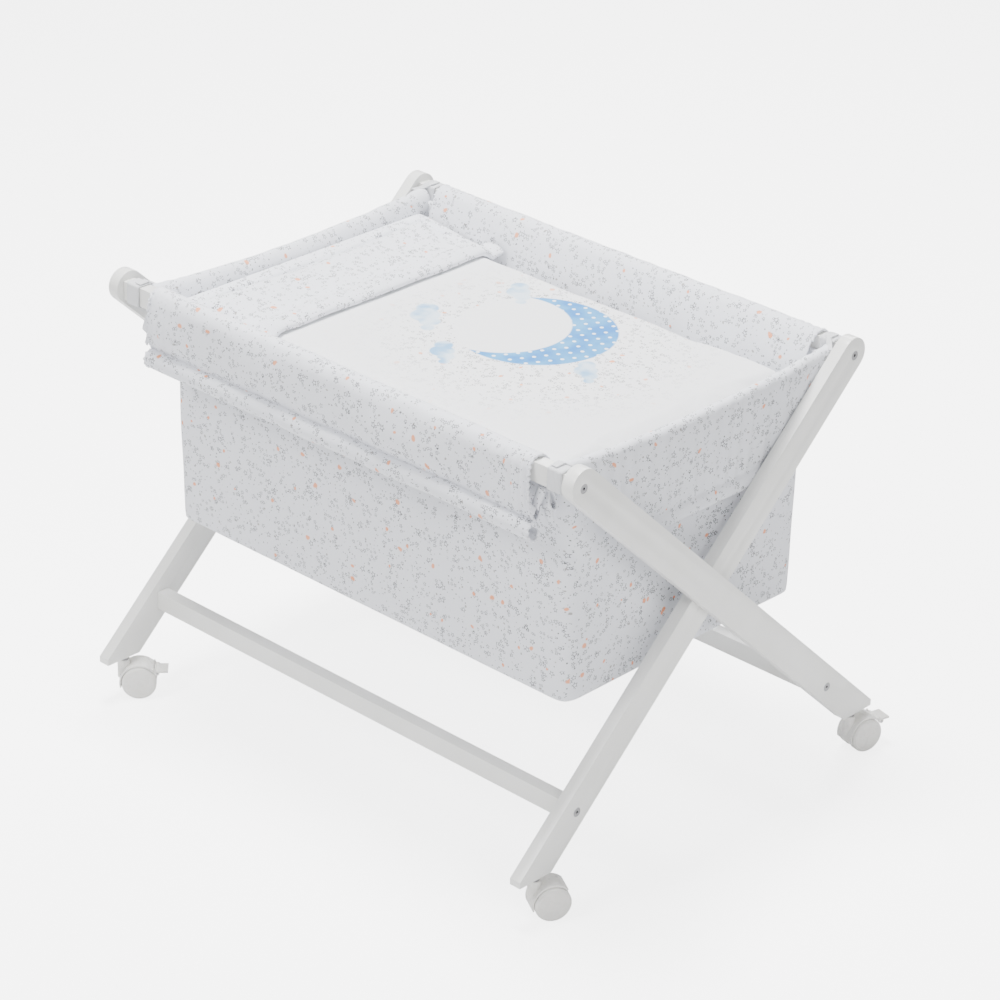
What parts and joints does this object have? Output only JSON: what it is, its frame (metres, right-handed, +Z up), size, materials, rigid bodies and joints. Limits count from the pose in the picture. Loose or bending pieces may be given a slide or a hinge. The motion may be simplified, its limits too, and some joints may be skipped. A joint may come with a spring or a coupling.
{
  "type": "bassinet on folding stand",
  "caption": "Baby bassinet on a folding stand: a padded cloth bed hung between two crossed wooden frames on twin-wheel casters, two of them with brakes.",
  "frame": {"origin": "on the floor, under the middle of the bassinet", "axes": "+X towards the foot end, +Y towards the back, +Z up"},
  "size_m": [0.9123, 0.7244, 0.6426],
  "materials": {
    "lacquered_wood": "white satin lacquer on wood",
    "print_cloth": "cotton with a small printed pattern",
    "quilt_cloth": "white padded cotton",
    "webbing": "ribbed white tape",
    "foam": "white mattress cover",
    "board": "plain board",
    "steel": "zinc plated",
    "brass": "turned",
    "white_plastic": "moulded"
  },
  "bodies": {
    "frame_outer": {"outer_leg_head": "lacquered_wood", "outer_leg_foot": "lacquered_wood", "rail_front": "lacquered_wood", "stretcher_back": "lacquered_wood", "outer_bolts": "steel", "outer_barrel_nuts": "steel", "outer_sockets": "white_plastic", "pivot_bolts": "steel", "pivot_washers": "steel", "pivot_inserts": "brass", "bag_floor": "print_cloth", "bag_front": "print_cloth", "bag_back": "print_cloth", "bag_head": "print_cloth", "bag_foot": "print_cloth", "base_board": "board", "mattress": "foam", "quilt": "quilt_cloth", "quilt_turndown": "print_cloth", "flap_front": "print_cloth", "flap_head": "print_cloth", "flap_foot": "print_cloth", "straps_front": "webbing", "ties_front": "print_cloth"},
    "frame_inner": {"inner_leg_head": "lacquered_wood", "inner_leg_foot": "lacquered_wood", "rail_back": "lacquered_wood", "stretcher_front": "lacquered_wood", "inner_bolts": "steel", "inner_barrel_nuts": "steel", "inner_sockets": "white_plastic", "flap_back": "print_cloth", "straps_back": "webbing", "ties_back": "print_cloth"},
    "caster_foot_front": {"hood_foot_front": "white_plastic", "stem_foot_front": "steel", "axle_foot_front": "steel"},
    "wheel_foot_front_l": {"wheel_foot_front_l": "white_plastic"},
    "wheel_foot_front_r": {"wheel_foot_front_r": "white_plastic"},
    "caster_foot_back": {"hood_foot_back": "white_plastic", "stem_foot_back": "steel", "axle_foot_back": "steel", "lever_pin_foot_back": "steel"},
    "wheel_foot_back_l": {"wheel_foot_back_l": "white_plastic"},
    "wheel_foot_back_r": {"wheel_foot_back_r": "white_plastic"},
    "lever_foot_back": {"lever_foot_back": "white_plastic"},
    "caster_head_front": {"hood_head_front": "white_plastic", "stem_head_front": "steel", "axle_head_front": "steel", "lever_pin_head_front": "steel"},
    "wheel_head_front_l": {"wheel_head_front_l": "white_plastic"},
    "wheel_head_front_r": {"wheel_head_front_r": "white_plastic"},
    "lever_head_front": {"lever_head_front": "white_plastic"},
    "caster_head_back": {"hood_head_back": "white_plastic", "stem_head_back": "steel", "axle_head_back": "steel"},
    "wheel_head_back_l": {"wheel_head_back_l": "white_plastic"},
    "wheel_head_back_r": {"wheel_head_back_r": "white_plastic"}
  },
  "joints": [
    {"name": "fold", "type": "hinge", "parent": "frame_outer", "child": "frame_inner", "pos_m": [0, 0, 0.364], "axis": [1, 0, 0], "range_deg": [0, 70], "deforming": ["bag_floor", "bag_front", "bag_back", "bag_head", "bag_foot", "quilt", "quilt_turndown", "flap_front", "flap_head", "flap_foot", "flap_back", "ties_front", "ties_back"]},
    {"name": "swivel_foot_front", "type": "hinge", "parent": "frame_inner", "child": "caster_foot_front", "pos_m": [0.402, -0.31185, 0.062], "axis": [0, 0, 1], "continuous": true},
    {"name": "roll_foot_front_l", "type": "hinge", "parent": "caster_foot_front", "child": "wheel_foot_front_l", "pos_m": [0.40287, -0.28695, 0.025], "axis": [-0.866, 0.5, 0], "continuous": true},
    {"name": "roll_foot_front_r", "type": "hinge", "parent": "caster_foot_front", "child": "wheel_foot_front_r", "pos_m": [0.42313, -0.29865, 0.025], "axis": [-0.866, 0.5, 0], "continuous": true},
    {"name": "swivel_foot_back", "type": "hinge", "parent": "frame_outer", "child": "caster_foot_back", "pos_m": [0.421, 0.31185, 0.062], "axis": [0, 0, 1], "continuous": true},
    {"name": "roll_foot_back_l", "type": "hinge", "parent": "caster_foot_back", "child": "wheel_foot_back_l", "pos_m": [0.41497, 0.33603, 0.025], "axis": [-0.9703, 0.2419, 0], "continuous": true},
    {"name": "roll_foot_back_r", "type": "hinge", "parent": "caster_foot_back", "child": "wheel_foot_back_r", "pos_m": [0.43767, 0.33037, 0.025], "axis": [-0.9703, 0.2419, 0], "continuous": true},
    {"name": "brake_foot_back", "type": "hinge", "parent": "caster_foot_back", "child": "lever_foot_back", "pos_m": [0.43263, 0.3585, 0.04005], "axis": [-0.9703, 0.2419, 0], "range_deg": [0, 22]},
    {"name": "swivel_head_front", "type": "hinge", "parent": "frame_inner", "child": "caster_head_front", "pos_m": [-0.402, -0.31185, 0.062], "axis": [0, 0, 1], "continuous": true},
    {"name": "roll_head_front_l", "type": "hinge", "parent": "caster_head_front", "child": "wheel_head_front_l", "pos_m": [-0.39513, -0.2879, 0.025], "axis": [-0.7193, 0.6947, 0], "continuous": true},
    {"name": "roll_head_front_r", "type": "hinge", "parent": "caster_head_front", "child": "wheel_head_front_r", "pos_m": [-0.3783, -0.30416, 0.025], "axis": [-0.7193, 0.6947, 0], "continuous": true},
    {"name": "brake_head_front", "type": "hinge", "parent": "caster_head_front", "child": "lever_head_front", "pos_m": [-0.36861, -0.27728, 0.04005], "axis": [-0.7193, 0.6947, 0], "range_deg": [0, 22]},
    {"name": "swivel_head_back", "type": "hinge", "parent": "frame_outer", "child": "caster_head_back", "pos_m": [-0.421, 0.31185, 0.062], "axis": [0, 0, 1], "continuous": true},
    {"name": "roll_head_back_l", "type": "hinge", "parent": "caster_head_back", "child": "wheel_head_back_l", "pos_m": [-0.4432, 0.32317, 0.025], "axis": [-0.8192, -0.5736, 0], "continuous": true},
    {"name": "roll_head_back_r", "type": "hinge", "parent": "caster_head_back", "child": "wheel_head_back_r", "pos_m": [-0.42403, 0.33659, 0.025], "axis": [-0.8192, -0.5736, 0], "continuous": true}
  ]
}
